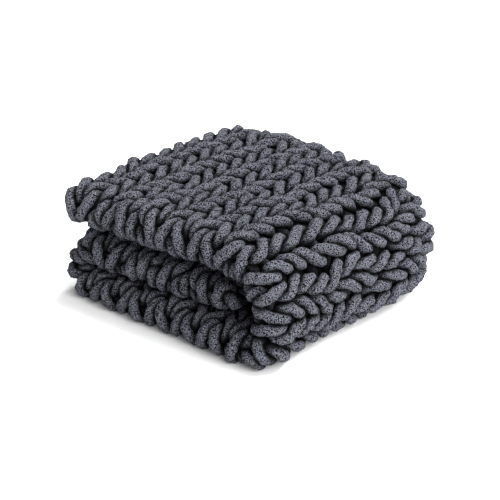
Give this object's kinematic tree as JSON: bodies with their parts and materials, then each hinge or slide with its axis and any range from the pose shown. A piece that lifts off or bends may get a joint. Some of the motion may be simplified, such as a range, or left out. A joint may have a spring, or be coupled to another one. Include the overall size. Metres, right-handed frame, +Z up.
{
  "type": "folded chunky knit blanket",
  "caption": "Thick chenille knit throw, folded in half and then in thirds like a letter, lying flat with its crease rolls in front and a full-height wrap at one end.",
  "frame": {"origin": "on the surface that the stack lies on, under the centre of its bounding box", "axes": "+Z up; +X towards the full-height wrap of the letter fold; -Y towards the crease rolls, so the free edges of the cloth are at +Y"},
  "size_m": [0.6234, 0.649, 0.2653],
  "materials": {
    "yarn": "dark charcoal chenille with a short dense pile, matt with a faint velvet sheen"
  },
  "bodies": {
    "root": {"blanket": "yarn"}
  },
  "joints": []
}
